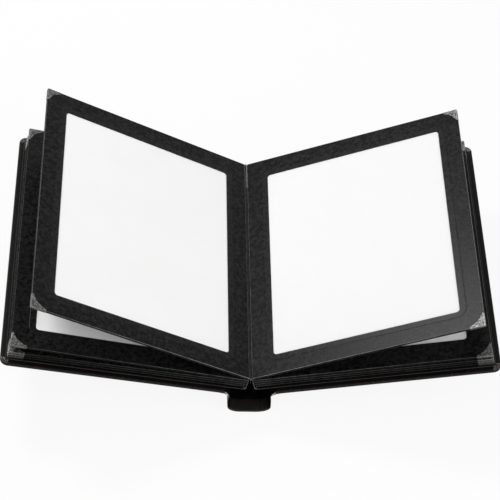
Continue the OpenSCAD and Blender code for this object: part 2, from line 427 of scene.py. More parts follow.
def cloth_tape():
    """Dark grey binding tape of plain weave, pale and frayed at its cut ends."""
    look = Look("cloth_tape", 0.8, 0.1)
    waves = []
    for axis in ("X", "Y"):
        values = {"Vector": look.coordinates, "Scale": 570.0, "Distortion": 0.4}
        waves.append(look.add("ShaderNodeTexWave", values, bands_direction=axis).outputs["Fac"])
    weave = look.sum("MULTIPLY", waves[0], waves[1])
    soil = look.noise(6, 5, 0.65)
    base = look.blend(look.span(soil, 0.35, 0.7), (0.036, 0.038, 0.038), (0.020, 0.021, 0.020))
    base = look.blend(look.span(weave, 0.0, 0.5, 0.45, 0.0), base, (0.018, 0.018, 0.018))
    frayed = look.sum("MULTIPLY", look.mark("cut"), look.span(look.noise(0.9, 4, 0.7), 0.3, 0.55, 0.55, 1.0))
    colour = look.blend(frayed, base, (0.26, 0.27, 0.26))
    return look.finish(colour, look.span(soil, 0.3, 0.7, 0.74, 0.88), look.relief(weave, 0.06, 0.7))


def corner_steel():
    """Embossed sheet metal, bright on its ridges and blackened in its hollows, with a painted highlight along
    its folded edges and painted shade down its edge wall.
    """
    look = Look("corner_steel", 0.42, 0.5, 0.85)
    stamp = look.cells(1.35, "SMOOTH_F1")
    tool = look.cells(0.8, "F1")
    haze = look.noise(3.2, 5, 0.7)
    high = look.sum("MULTIPLY", look.span(stamp, 0.62, 0.18), look.span(haze, 0.36, 0.6, 0.35, 1.0))
    colour = look.blend(high, (0.034, 0.034, 0.033), (0.27, 0.27, 0.265))
    # a painted highlight along the folded edges
    colour = look.blend(look.sum("MULTIPLY", look.mark("wear"), haze), colour, (0.60, 0.60, 0.59))
    # painted shade down the edge wall
    colour = look.blend(look.mark("wall"), colour, (0.012, 0.012, 0.012))
    gloss = look.span(haze, 0.3, 0.7, 0.36, 0.5)
    first = look.relief(look.sum("SUBTRACT", 1.0, stamp), 0.25, 0.9)
    return look.finish(colour, gloss, look.relief(tool, 0.08, 0.5, first))


LOOKS = {
    "black_card": black_card(),
    "white_card": white_card(),
    "leatherette": leatherette(),
    "endpaper": end_paper(),
    "hollow_lining": hollow_lining(),
    "greyboard": greyboard(),
    "cloth_tape": cloth_tape(),
    "corner_steel": corner_steel(),
}

# ---- leaves ----

LEAF_EDGE = 0.22
LEAF_CORNER_R = 1.0
WINDOW_R = 3.5
BEVEL = 0.45
MIN_CORNER_R = 0.25
LINE_GUESS = 5.0
LINE_HALF = 0.45
LINE_DEPTH = 0.12
RIM_SET_BACK = 0.35
# How strongly each leaf's top and back edges carry the painted highlight, strongest on the raised leaf and
# weaker down the shaded stack, and how much painted reflected light lifts each leaf's face.
ARRIS_TOP = {1: 1.0, 2: 0.4, 3: 0.26, 4: 0.22, 5: 0.2}
ARRIS_BACK = {1: 0.55, 2: 0.1, 3: 0.0, 4: 0.0, 5: 0.0}
LEAF_LIGHT = {1: 0.0, 2: 0.6, 3: 0.35, 4: 0.35, 5: 0.35}
SLIDE_SIDE = 0.4
CORNER_STEPS = 6


def mat_shell(flat, node, face_is_top, line, arris=1.0):
    """A window mat as one closed ring. line is how far its debossed line lies outside the window."""
    (s0, y0, u0), (s1, y1, u1) = flat.reach(node)
    border = np.array([(s1 - s0 - window[0]) / 2, (y1 - y0 - window[1]) / 2])
    top, down = (u1, -1) if face_is_top else (u0, 1)
    rings, marks = [], []

    def add(at_window, extra, drop, cut=0.0, core=0.0, panel_and_leaf_light=0.0):
        """A ring at the leaf's edge or the window, set in by extra and dropped from the shown face."""
        inset = border * at_window + extra
        r = WINDOW_R - extra if at_window else LEAF_CORNER_R
        loop = rect_loop((s0 + inset[0], y0 + inset[1]), (s1 - inset[0], y1 - inset[1]),
                         [max(r, MIN_CORNER_R)] * 4, CORNER_STEPS)
        rings.append(ring(loop, top + down * drop))
        marks.append(np.tile((cut, core, panel_and_leaf_light), (len(loop), 1)))

    add(0, 0.0, mat_thick, core=1.0)
    add(0, 0.0, LEAF_EDGE * 1.6, core=1.0)
    add(0, 0.0, LEAF_EDGE, cut=arris, core=1.0)
    add(0, LEAF_EDGE * 0.4, LEAF_EDGE * 0.3, cut=arris)
    add(0, LEAF_EDGE, 0.0, cut=arris * 0.35)
    add(0, LEAF_EDGE * 2.5, 0.0)
    add(1, -line - LINE_HALF, 0.0)
    add(1, -line - LINE_HALF * 0.3, LINE_DEPTH)
    add(1, -line + LINE_HALF * 0.3, LINE_DEPTH)
    add(1, -line + LINE_HALF, LINE_DEPTH * 0.15, panel_and_leaf_light=1.0)
    add(1, -BEVEL - 0.15, 0.0, panel_and_leaf_light=1.0)
    add(1, -BEVEL, 0.03, cut=0.06)
    add(1, 0.0, mat_thick - 0.12, cut=0.03, core=1.0)
    add(1, 0.0, mat_thick)
    vertices, faces = loft(rings, closed=True)
    return vertices, faces, np.concatenate(marks)


def fade_out(vertices, marks, low, high, tone):
    """The painted edge highlight is brightest beside the spine and duller towards the fore edge. tone is
    painted reflected light that lifts a whole leaf.
    """
    share = np.clip((vertices[:, 0] - low[0]) / (high[0] - low[0]), 0, 1)
    return {"cut": marks[:, 0] * (1.0 - 0.55 * share), "core": marks[:, 1],
            "panel_and_leaf_light": np.minimum(marks[:, 2] + tone, 1.0)}


def window_size(node, flat):
    """The window's width and height, from the card-side mesh of a CAD mat."""
    seen = flat.measure([v.co for v in frame["nodes"][node].data.vertices])
    low, high = seen.min(0), seen.max(0)
    inside = seen[(np.abs(seen[:, 0] - low[0]) > 1) & (np.abs(seen[:, 0] - high[0]) > 1)]
    return inside[:, 0].max() - inside[:, 0].min(), inside[:, 1].max() - inside[:, 1].min()


first_flat = Flat("left", "left_front_mat_1")
mat_low, mat_high = first_flat.reach("left_front_mat_1")
mat_thick = mat_high[2] - mat_low[2]
window = window_size("left_front_mat_1", first_flat)


def line_offset():
    """How far the debossed line lies outside the window, from its image point."""
    vertices, faces = mat_shell(first_flat, "left_front_mat_1", True, LINE_GUESS)[:2]
    place = put_at(IMAGE_POINTS["left_line"], [Vector(v) for v in first_flat.place(vertices)], faces)
    along = first_flat.measure([place])[0][1]
    return -window[1] / 2 - along


line_set = line_offset()


def rim_shell(low, high, card_low, card_high, bottom, top):
    """The three-sided rim that spaces the two mats, open at the far end."""
    s0, y0 = low[:2] + RIM_SET_BACK
    s1, y1 = high[0] - RIM_SET_BACK, high[1] - RIM_SET_BACK
    a0, a1 = card_low[0] - SLIDE_SIDE, card_high[0] + SLIDE_SIDE
    b0 = card_low[1] - SLIDE_SIDE
    outline = [(s0, y1), (s0, y0), (s1, y0), (s1, y1), (a1, y1), (a1, b0), (a0, b0), (a0, y1)]
    strips = [(0, 1, 6, 7), (1, 2, 5, 6), (2, 3, 4, 5)]
    vertices = np.array([(*p, u) for u in (bottom, top) for p in outline])
    faces = strips + [tuple(i + 8 for i in reversed(s)) for s in strips]
    faces += [(i, (i + 1) % 8, (i + 1) % 8 + 8, i + 8) for i in range(8)]
    return vertices, faces


def make_leaf(side, n):
    body = f"{side}_leaf_{n}"
    front, back = f"{side}_front_mat_{n}", f"{side}_back_mat_{n}"
    flat = Flat(side, front)
    low, high = flat.reach(back)
    vertices, faces, marks = mat_shell(flat, front, True, line_set, ARRIS_TOP[n])
    piece(f"{side}_window_mat_{n}", (flat.place(vertices), faces), LOOKS["black_card"], body, "black_card",
          [front], smooth=False, **fade_out(vertices, marks, low, high, LEAF_LIGHT[n]))
    vertices, faces, marks = mat_shell(flat, back, False, line_set, ARRIS_BACK[n])
    card_low, card_high = flat.reach(f"{side}_card_{n}")
    rim = rim_shell(low, high, card_low, card_high, low[2] + mat_thick * 0.98, high[2])
    marks = np.concatenate([marks, np.tile((0.0, 1.0, 0.0), (len(rim[0]), 1))])
    vertices, faces = join((vertices, faces), rim)
    piece(f"{side}_rimmed_mat_{n}", (flat.place(vertices), faces), LOOKS["black_card"], body, "black_card",
          [back], smooth=False, **fade_out(vertices, marks, low, high, LEAF_LIGHT[n]))


CARD_R = 0.8
CARD_EDGE = 0.08
CARD_STEPS = 4


def make_card(side, n):
    flat = Flat(side, f"{side}_front_mat_{n}")
    low, high = flat.reach(f"{side}_card_{n}")
    rings = []
    for inset, up in ((CARD_EDGE, low[2]), (0, low[2] + CARD_EDGE),
                      (0, high[2] - CARD_EDGE), (CARD_EDGE, high[2])):
        loop = rect_loop(low[:2] + inset, high[:2] - inset, [CARD_R - inset] * 4, CARD_STEPS)
        rings.append(ring(loop, up))
    vertices, faces = loft(rings)
    piece(f"{side}_print_card_{n}", (flat.place(vertices), faces), LOOKS["white_card"],
          f"{side}_slip_card_{n}", "white_card", [f"{side}_card_{n}"], smooth=False)


# ---- metal corners ----

PLATE_T = 0.2
PLATE_END = 1.6
PLATE_POWER = 40
PLATE_CHORD = 0.5
PLATE_ARC_STEPS = 40
PLATE_ROWS = 9
PLATE_BEAD = 0.10
PLATE_PITCH = 1.9
PLATE_EMBOSS = 0.045
# how far the painted edge highlight reaches in from the plates' folded edges
PLATE_HIGHLIGHT_REACH = 0.45
PLATE_SET_BACK = 0.35
# the fold's points, in and down, and the painted shade on its four
PLATE_FOLD = ((0.12, 0.05), (0.0, 0.32))
PLATE_WALL_SHADE = (0.0, 0.225, 0.81, 0.9)


def plate_relief(s, y):
    """The stamped pattern's height, a soft diamond of ridges, in millimetres."""
    a, b = (s + y) / PLATE_PITCH, (s - y) / PLATE_PITCH
    return PLATE_EMBOSS * math.sin(math.pi * a) * math.sin(math.pi * b)


def corner_shell(low, high, leg, y_sign):
    """One folded plate, over the face, round the leaf's corner and back under it, with its wall's painted
    shade.
    """
    arc = leg - PLATE_END
    centre = np.array([high[0] - PLATE_T - leg, y_sign * (high[1] - PLATE_T - leg)])
    reach = leg + PLATE_T
    top, bottom = high[2], low[2]
    columns = []
    for step in range(PLATE_ARC_STEPS + 1):
        a = math.pi / 2 * step / PLATE_ARC_STEPS
        cos, sin = math.cos(a), math.sin(a)
        edge = reach / (cos ** PLATE_POWER + sin ** PLATE_POWER) ** (1 / PLATE_POWER)
        radius = arc * (1 - PLATE_CHORD + PLATE_CHORD / (cos + sin))
        path = []
        for row in range(PLATE_ROWS + 1):
            share = row / PLATE_ROWS
            r = radius + (edge - PLATE_SET_BACK - radius) * share
            bead = PLATE_BEAD if row == 1 else 0.0
            up = bead + plate_relief(r * cos, r * sin) * math.sin(math.pi * share)
            path.append((r, top + up * (row > 0)))
        path += [(edge - inset, top - drop) for inset, drop in PLATE_FOLD]
        path += [(edge - inset, bottom + drop) for inset, drop in reversed(PLATE_FOLD)]
        path += [(r, bottom - (up - top)) for r, up in reversed(path[:PLATE_ROWS + 1])]
        columns.append([(centre[0] + r * cos, centre[1] + y_sign * r * sin, up) for r, up in path])
    columns = np.array(columns)
    count = columns.shape[1]
    faces = []
    for a in range(PLATE_ARC_STEPS):
        for b in range(count - 1):
            i = a * count + b
            faces.append((i, i + 1, i + count + 1, i + count))
    wall = [0.0] * (PLATE_ROWS + 1)
    wall += [*PLATE_WALL_SHADE, *wall]
    return columns.reshape(-1, 3), faces, np.tile(wall, len(columns))


def plate_wear(vertices, high):
    """A painted highlight along the plates' folded edges, brightest at the leaf's corner."""
    fore = np.exp(-np.abs(high[0] - vertices[:, 0]) / PLATE_HIGHLIGHT_REACH)
    end = np.exp(-np.abs(high[1] - np.abs(vertices[:, 1])) / PLATE_HIGHLIGHT_REACH)
    return np.clip(0.35 * (fore + end) + 0.9 * fore * end, 0, 1)


def make_corners(side, n):
    flat = Flat(side, f"{side}_front_mat_{n}")
    node = f"{side}_corners_{n}"
    low, high = flat.reach(node)
    leg = high[0] - low[0] - PLATE_T
    shells = [corner_shell(low, high, leg, sign) for sign in (-1, 1)]
    vertices, faces = join(*(shell[:2] for shell in shells))
    wall = np.concatenate([shell[2] for shell in shells])
    # Along the folded edges the plates carry a painted highlight, and down their edge wall painted shade.
    thing = piece(f"{side}_metal_corners_{n}", (flat.place(vertices), faces), LOOKS["corner_steel"],
                  f"{side}_leaf_{n}", "corner_steel", [node], wear=plate_wear(vertices, high), wall=wall)
    skin = thing.modifiers.new("sheet", "SOLIDIFY")
    skin.thickness = PLATE_T * 0.8 * MM
    skin.offset = -1
    thing.modifiers.move(1, 0)
    # the open sheet's normals have to face out for the sheet to thicken inwards
    mesh = thing.data
    middle = Vector(flat.place([(low + high) / 2 * [1, 0, 1]])[0])
    facing = sum((p.center - middle).dot(p.normal) * p.area for p in mesh.polygons)
    if facing < 0:
        mesh.flip_normals()


# ---- ribbons along the spine ----

def ribbon(path, thick, ends=3):
    """A closed profile round a path of points, with round ends."""
    path = np.asarray(path, float)
    run = np.gradient(path, axis=0)
    run /= np.linalg.norm(run, axis=1)[:, None]
    side = np.column_stack([-run[:, 1], run[:, 0]])
    half = np.broadcast_to(np.asarray(thick, float) / 2, len(path))[:, None]
    loop = list(path + side * half)
    for i, start in ((-1, 1), (0, -1)):
        for step in range(1, ends + 1):
            a = math.pi * step / (ends + 1)
            loop.append(path[i] + half[i] * (start * side[i] * math.cos(a) + start * run[i] * math.sin(a)))
        if i == -1:
            loop += list((path - side * half)[::-1])
    return np.array(loop)


def smooth_path(points, steps):
    """A Catmull-Rom curve through points in a plane."""
    p = np.asarray(points, float)
    p = np.vstack([2 * p[0] - p[1], p, 2 * p[-1] - p[-2]])
    out = []
    for i in range(1, len(p) - 2):
        for t in np.linspace(0, 1, steps, endpoint=False):
            a = 2 * p[i]
            b = p[i + 1] - p[i - 1]
            c = 2 * p[i - 1] - 5 * p[i] + 4 * p[i + 1] - p[i + 2]
            d = 3 * p[i] - p[i - 1] - 3 * p[i + 1] + p[i + 2]
            out.append((a + b * t + c * t * t + d * t ** 3) / 2)
    return np.array(out + [p[-2]])


def run_along(profile, thin, half_length, softness, spans=1, capped=True):
    """A profile in x and z drawn along y, with softened ends. thin is the profile at its ends."""
    ys = [-half_length, -half_length + softness]
    ys += list(np.linspace(-half_length + softness, half_length - softness, spans + 1))[1:-1]
    ys += [half_length - softness, half_length]
    rings = []
    for i, y in enumerate(ys):
        loop = thin if i in (0, len(ys) - 1) else profile
        rings.append(np.column_stack([loop[:, 0], np.full(len(loop), y), loop[:, 1]]))
    return loft(rings, capped=capped)


def ribbon_along(path, thick, thin, half_length, softness, spans):
    """A ribbon drawn along y. thin is its thickness at its ends."""
    return run_along(ribbon(path, thick), ribbon(path, thin), half_length, softness, spans)


def in_row(flat, points):
    """x and z in millimetres, from the row's origin, of points out and up in a flat piece's frame."""
    places = flat.place([(s, 0, u) for s, u in points]) / MM
    return places[:, [0, 2]]


# ---- spine ----

SPINE_SOFT = 0.35
SPINE_END = SPINE_SOFT * 1.2
SPINE_SPANS = 8
SPINE_SWEEP = {"left": 12.5, "right": 15.5}
# Painted light at the spine's ends: a lift over the turn-in band in the hollow's shade, and a paler inside at
# the very end.
SPINE_END_LIGHT = 0.8
SPINE_CAP_LIGHT = 0.017
CREST_NICK = 0.12
CREST_SHOULDER = 0.45
CREST_DROP = 0.4
BEAD_SET = 0.82
BEAD_HALF = 0.34
BEAD_RISE = 0.6
BEAD_PROFILE = ((1, 0), (0.7, 0.8), (0, 1), (-0.7, 0.8), (-1, 0))
LINING_SINK = 0.12
LINING_DROP = 1.2
LINING_T = 0.3
LINING_END_T = 0.16
LINING_TURN_IN = 13.0


def spine_arc(half, top, radius, inset, steps=14):
    """The trough's line at an inset from its outer face, from one wall's top to the other's.
    Its corners sweep further along the floor than up the walls."""
    walls = {}
    for side, sweep in SPINE_SWEEP.items():
        flat = half - sweep
        walls[side] = [(-half + inset, top)]
        for step in range(steps + 1):
            a = math.pi + math.pi / 2 * step / steps
            x, z = -flat + (sweep - inset) * math.cos(a), radius + (radius - inset) * math.sin(a)
            walls[side].append((x, z))
    return np.array(walls["left"] + [(-x, z) for x, z in reversed(walls["right"])])


def make_spine():
    """The leatherette trough, with a bead along each wall's crest, and the lining inside it."""
    half, end, top = np.array(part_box("spine_cover")[1]) / MM
    lining_low, lining_high = (np.array(v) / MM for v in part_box("spine_lining"))
    radius = top
    inner = lining_low[2] + LINING_SINK
    bead_middle = half - BEAD_SET

    def trough(shrink):
        """The spine's profile: outer face, right crest, inner face and left crest."""
        outer = spine_arc(half, top - CREST_DROP, radius, shrink)
        inside = spine_arc(half, top - CREST_DROP, radius, inner - shrink)
        crest = [(half - CREST_NICK - shrink, top - CREST_NICK - shrink),
                 (half - CREST_SHOULDER - shrink, top - shrink)]
        crest += [(bead_middle + BEAD_HALF * x, top - shrink + BEAD_RISE * rise) for x, rise in BEAD_PROFILE]
        crest += [(half - inner + CREST_SHOULDER + shrink, top - shrink),
                  (half - inner + CREST_NICK + shrink, top - CREST_NICK - shrink)]
        left_crest = [(-x, z) for x, z in reversed(crest)]
        return np.array(list(outer) + crest + list(inside[::-1]) + left_crest)

    half_length = end + SPINE_SOFT
    full, thin = trough(0), trough(SPINE_SOFT)
    vertices, faces = run_along(full, thin, half_length, SPINE_END, SPINE_SPANS, capped=False)
    count, arc = len(full), len(spine_arc(half, top, radius, 0))
    side = count // 2
    # each end is a strip between the two faces, and a cap on each crest
    for first in (0, len(vertices) - count):
        run = list(range(first, first + count))
        inner_run = run[side:side + arc][::-1]
        faces += [(run[i], run[i + 1], inner_run[i + 1], inner_run[i]) for i in range(arc - 1)]
        faces.append(tuple(run[arc - 1:side + 1]))
        faces.append(tuple(run[side + arc - 1:] + run[:1]))
    # Both ends are lightened as painted light, over the band in the hollow's shade and on the inside of the
    # end.
    ends = np.abs(vertices[:, 1]) > half_length - SPINE_END - 0.1
    inside = np.tile([0.0] * side + [1.0] * arc + [0.0] * (side - arc), len(vertices) // count)
    inside = np.maximum(inside, np.abs(vertices[:, 1]) > half_length - 0.05)
    piece("spine_case", (vertices * MM, faces), LOOKS["leatherette"], "spine", "leatherette",
          ["spine_cover", "spine_board"], wear=ends * SPINE_END_LIGHT, cut=ends * inside * SPINE_CAP_LIGHT)
    path = spine_arc(half, top - LINING_DROP, radius, inner + 0.05)
    vertices, faces = ribbon_along(path, LINING_T, LINING_END_T, lining_high[1] - LINING_TURN_IN, 0.3, 2)
    piece("spine_inner_lining", (vertices * MM, faces), LOOKS["hollow_lining"], "spine", "leatherette",
          ["spine_lining"])


# ---- covers ----

EDGE_R = 0.9
SPINE_EDGE = 0.35
TURN_IN = 14.0
COVER_R = 8.0
COVER_STEPS = 24
PLEATS = 7
PLEAT_HEIGHT = 0.42
EDGE_STEPS = 4
TURN_IN_T = 0.28
WRAP_T = 0.6
BOARD_BED = 0.55
BOARD_SET = 0.5
# inset, wear and share of the pleats' height
TURN_IN_ROWS = ((7.2, 0.0, 0.1), (5.4, 0.0, 0.55), (3.6, 0.1, 1.0), (2.2, 0.3, 0.8))
# rings draw in less at the spine side
SPINE_INSET = 0.58
SPINE_INSET_TO = 6


def make_cover(side):
    """A board's leatherette, hollow for the board, with its endpaper and its hinge."""
    half = f"{side}_half"
    flat = Flat(side, f"{side}_cover_board")
    board_low, board_high = flat.reach(f"{side}_cover_board")
    fore, end = flat.reach(f"{side}_cover_wrap")[1][:2]
    spine_side = board_low[0] - SPINE_EDGE
    top, bottom = board_high[2], board_low[2] - WRAP_T
    rings, wears, pleats = [], [], []

    def add(inset, up, wear=0.0, pleat=0.0):
        """A ring at an inset from the cover's edge, pleated round its fore corners."""
        r = max(COVER_R - inset, 0.4)
        low = (spine_side + min(inset, SPINE_INSET_TO) * SPINE_INSET, -end + inset)
        loop = rect_loop(low, (fore - inset, end - inset), [r, r, 0.5, 0.5], COVER_STEPS)
        heights = np.full(len(loop), float(up))
        for corner in (0, 1):
            first = corner * (COVER_STEPS + 1)
            share = np.arange(COVER_STEPS + 1) / COVER_STEPS
            ridge = pleat * np.abs(np.sin(share * math.pi * PLEATS))
            heights[first:first + COVER_STEPS + 1] += ridge
        rings.append(ring(loop, heights))
        wears.append(np.full(len(loop), wear))
        # the pleats' ridges get a painted highlight in the leatherette
        pleats.append((heights - up) / PLEAT_HEIGHT)

    add(TURN_IN, top - TURN_IN_T)
    add(TURN_IN, top - 0.02)
    add(TURN_IN - 0.5, top)
    for inset, wear, share in TURN_IN_ROWS:
        add(inset, top, wear, PLEAT_HEIGHT * share)
    for step in range(EDGE_STEPS + 1):
        a = math.pi / 2 * step / EDGE_STEPS
        share = 1 - abs(step - 2) / EDGE_STEPS
        add(EDGE_R * (1 - math.sin(a)), top - EDGE_R * (1 - math.cos(a)), 0.5 + 0.5 * share,
            PLEAT_HEIGHT * 0.5 * (1 - step / EDGE_STEPS))
    for step in range(EDGE_STEPS + 1):
        a = math.pi / 2 * step / EDGE_STEPS
        add(EDGE_R * (1 - math.cos(a)), bottom + EDGE_R * (1 - math.sin(a)), 1.0 - 0.15 * step)
    add(5, bottom)
    vertices, faces = loft(rings, capped=False)
    count = len(rings[0])
    last = (len(rings) - 1) * count
    faces.append(tuple(last + i for i in range(count)))
    hollow = rect_loop((spine_side + 0.25, -end + BOARD_SET), (fore - BOARD_SET, end - BOARD_SET),
                       [COVER_R - BOARD_SET] * 2 + [0.4] * 2, COVER_STEPS)
    inner, inner_faces = loft([ring(hollow, top - TURN_IN_T), ring(hollow, bottom + BOARD_BED)], capped=False)
    start = len(vertices)
    vertices = np.concatenate([vertices, inner])
    faces += [tuple(i + start for i in face) for face in inner_faces]
    faces.append(tuple(start + count + i for i in reversed(range(count))))
    faces += [(i, (i + 1) % count, start + (i + 1) % count, start + i) for i in range(count)]
    wear = np.concatenate(wears + [np.zeros(len(inner))])
    pleat = np.concatenate(pleats + [np.zeros(len(inner))])
    piece(f"{side}_cover_leatherette", (flat.place(vertices), faces), LOOKS["leatherette"], half,
          "leatherette", [f"{side}_cover_wrap"], wear=wear, pleat=pleat)
    make_endpaper(side, flat, half)
    make_hinge(side, flat, board_low, board_high, bottom)


def make_endpaper(side, flat, body):
    """The lining paper on the cover, with a painted highlight on its cut edge."""
    low, high = flat.reach(f"{side}_endpaper")
    rings, cuts = [], []
    for inset, up, cut in ((0.1, low[2] + 0.02, 0), (0, low[2] + 0.12, 0.5), (0, high[2] - 0.1, 1),
                           (0.12, high[2], 1), (0.45, high[2], 0)):
        rings.append(ring(rect_loop(low[:2] + inset, high[:2] - inset, [1.5, 1.5, 0.5, 0.5], 6), up))
        cuts.append(np.full(len(rings[0]), cut, float))
    vertices, faces = loft(rings)
    piece(f"{side}_lining_paper", (flat.place(vertices), faces), LOOKS["endpaper"], body, "endpaper",
          [f"{side}_endpaper"], smooth=False, cut=np.concatenate(cuts))


# ---- leatherette hinges between covers and spine ----

HINGE_T = 0.75
MARGIN_T = 0.7
INNER_T = 0.8
HEM_T = 1.0
HINGE_GLUED = 3.0
HINGE_ENDS = 0.85
WALL_SWELL = {"left": 0.9, "right": 0.25}
# shares of the way down the wall, and of its swell there
WALL_DOWN = (0.22, 0.42, 0.62, 0.82)
WALL_SHARE = (0.15, 0.7, 1.0, 0.6)


def make_hinge(side, flat, board_low, board_high, bottom):
    """The sheet that leaves the cover, folds at the crease and goes down beside the spine."""
    joint = next(j for j in frame["joints"] if j["name"] == f"{side}_crease_fold")
    crease = np.array(joint["pos_m"])[[0, 2]] / MM
    low, high = (np.array(v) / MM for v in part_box(f"{side}_joint_strip"))
    sign = SIDES[side]
    foot = np.array([sign * (max(abs(low[0]), abs(high[0])) - 0.5), low[2] + 0.02])
    under = bottom + MARGIN_T / 2 + 0.08
    start = in_row(flat, [(board_low[0] + HINGE_GLUED, under), (board_low[0] + 0.6, under),
                          (board_low[0] - 1.2, under - 0.55), (board_low[0] - 3.6, under - 1.5)])
    neck = [crease + (sign * 1.0, 0.28), crease + (sign * 0.1, -0.12), crease + (0, -1.2)]
    wall = [crease + (foot - crease) * down + (sign * WALL_SWELL[side] * share, 0)
            for down, share in zip(WALL_DOWN, WALL_SHARE)]
    path = smooth_path([*start, *neck, *wall, foot + (0, 0.5)], 5)
    along = np.linspace(0, 1, len(path))
    thick = np.interp(along, (0, 0.3, 0.45, 0.85, 0.95, 1),
                      (MARGIN_T, MARGIN_T, HINGE_T, HINGE_T, HEM_T, HEM_T))
    vertices, faces = ribbon_along(path, thick, thick * HINGE_ENDS, high[1] + 0.15, 0.3, 12)
    ends = np.abs(vertices[:, 1]) > high[1] - 0.05
    margin = vertices[:, 2] > crease[1] + 0.4
    from_crease = np.hypot(vertices[:, 0] - crease[0], vertices[:, 2] - crease[1])
    # rubbed by the crease; the margin's cut ends carry a painted highlight
    wear = ends * 0.8 + np.exp(-(from_crease / 1.2) ** 2) * 0.7
    thing = piece(f"{side}_hinge_leatherette", (vertices * MM, faces), LOOKS["leatherette"], None,
                  "leatherette", [f"{side}_joint_strip"], wear=np.clip(wear, 0, 1), cut=ends * margin * 0.9)
    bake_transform(thing)
    make_inner_hinge(side, flat, board_low, board_high, crease, high[1])


def make_inner_hinge(side, flat, board_low, board_high, crease, half_length):
    """The stiff strip from the board's inner edge down to the crease, with a painted white highlight at its
    cut ends.
    """
    upper = in_row(flat, [(board_low[0] - SPINE_EDGE - 0.55, (board_low[2] + board_high[2]) / 2)])[0]
    lower = crease + (SIDES[side] * 1.15, 1.5)
    path = [upper + (lower - upper) * share for share in np.linspace(0, 1, 5)]
    vertices, faces = ribbon_along(path, INNER_T, INNER_T * HINGE_ENDS, half_length, 0.2, 4)
    cut = (np.abs(vertices[:, 1]) > half_length - 0.05) * 1.0
    piece(f"{side}_inner_hinge", (vertices * MM, faces), LOOKS["leatherette"], f"{side}_half", "leatherette",
          wear=cut * 0.5, cut=cut)


# ---- tapes ----

TAPE_T = 0.3
TAPE_END_T = 0.2
TAPE_PROUD = 0.8
TAPE_SPANS = 24
FRAY = 1.6
GUARD_POINTS = 7
GUARD_BOW = 0.10


def frayed_ends(vertices):
    """Tapes are pale over their last millimetre or two."""
    reach = np.abs(vertices[:, 1])
    return np.clip(1 - (reach.max() - reach) / FRAY, 0, 1)


def make_fold_tape():
    """The tape in the gutter, thick and pale at its head."""
    low, high = (np.array(v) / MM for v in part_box("fold_tape"))
    top = high[2]
    path = [(0, low[2]), (0, low[2] + 2), (0, top - 2.2), (0, top - 1.3), (0, top - 0.8), (0, top - 0.42)]
    thick = np.array([0.6, 0.8, 0.8, 0.95, 1.5, 1.3])
    vertices, faces = ribbon_along(path, thick, thick * 0.75, high[1] + TAPE_PROUD, FRAY, TAPE_SPANS)
    head = np.clip((vertices[:, 2] - top + 1.6) / 0.8, 0, 1)
    piece("fold_binding_tape", (vertices * MM, faces), LOOKS["cloth_tape"], "fold", "cloth_tape",
          ["fold_tape"], cut=frayed_ends(vertices) * head)


def make_guard(side, n):
    """The cloth strip on a raised leaf's spine edge."""
    flat = Flat(side, f"{side}_front_mat_{n}")
    node = f"{side}_guard_{n}"
    low, high = flat.reach(node)
    s = (low[0] + high[0]) / 2
    heights = np.linspace(low[2] + 0.1, high[2] - 0.1, GUARD_POINTS)
    bow = GUARD_BOW * np.sin(np.linspace(0, math.pi, GUARD_POINTS))
    path = in_row(flat, list(zip(s + bow, heights)))
    half_length = high[1] + TAPE_PROUD * 0.4
    vertices, faces = ribbon_along(path, TAPE_T, TAPE_END_T, half_length, FRAY, TAPE_SPANS)
    piece(f"{side}_guard_tape_{n}", (vertices * MM, faces), LOOKS["cloth_tape"], f"{side}_leaf_{n}",
          "cloth_tape", [node], cut=frayed_ends(vertices) * 0.7)


def make_block_tape(side):
    """The tape down the spine edge of the lower leaves, with its foot under them."""
    flat = Flat(side, f"{side}_cover_board")
    node = f"{side}_block_tape"
    low, high = flat.reach(node)
    foot_up = low[2] + 0.16
    path = [(low[0] + 0.15, high[2] - 0.1), (low[0] + 0.35, high[2] - 3), (low[0] + 0.55, high[2] - 6),
            (high[0] - 3.3, foot_up + 0.9), (high[0] - 2.8, foot_up + 0.16), (high[0] - 2.0, foot_up),
            (high[0] - 1.0, foot_up)]
    path = in_row(flat, smooth_path(path, 5))
    vertices, faces = ribbon_along(path, TAPE_T, TAPE_END_T, high[1] + TAPE_PROUD, FRAY, TAPE_SPANS)
    piece(f"{side}_block_binding_tape", (vertices * MM, faces), LOOKS["cloth_tape"], f"{side}_half",
          "cloth_tape", [node], cut=frayed_ends(vertices))


# ---- the whole album ----

make_spine()
make_fold_tape()
for side in SIDES:
    make_cover(side)
    make_block_tape(side)
    for n in (1, 2):
        make_guard(side, n)
    for n in LEAVES:
        make_leaf(side, n)
        make_card(side, n)
        make_corners(side, n)
for node in ("left_cover_board", "right_cover_board"):
    for material_slot in frame["nodes"][node].material_slots:
        material_slot.material = LOOKS["greyboard"]


# ---- floor, light and background ----

def only_background(tree, plain, shown):
    """Mixes in a shader that only the camera, mirrors and clear things see."""
    path = tree.nodes.new("ShaderNodeLightPath")
    seen = path.outputs["Is Camera Ray"]
    for name in ("Is Glossy Ray", "Is Transmission Ray"):
        either = tree.nodes.new("ShaderNodeMath")
        either.operation = "MAXIMUM"
        tree.links.new(seen, either.inputs[0])
        tree.links.new(path.outputs[name], either.inputs[1])
        seen = either.outputs[0]
    mix = tree.nodes.new("ShaderNodeMixShader")
    tree.links.new(seen, mix.inputs[0])
    tree.links.new(plain, mix.inputs[1])
    tree.links.new(shown, mix.inputs[2])
    return mix.outputs[0]


FLOOR_GLOW = 0.9
FLOOR_HALF = 6.0
FLOOR_DROP = 0.0002
FLOOR_CELLS = 8


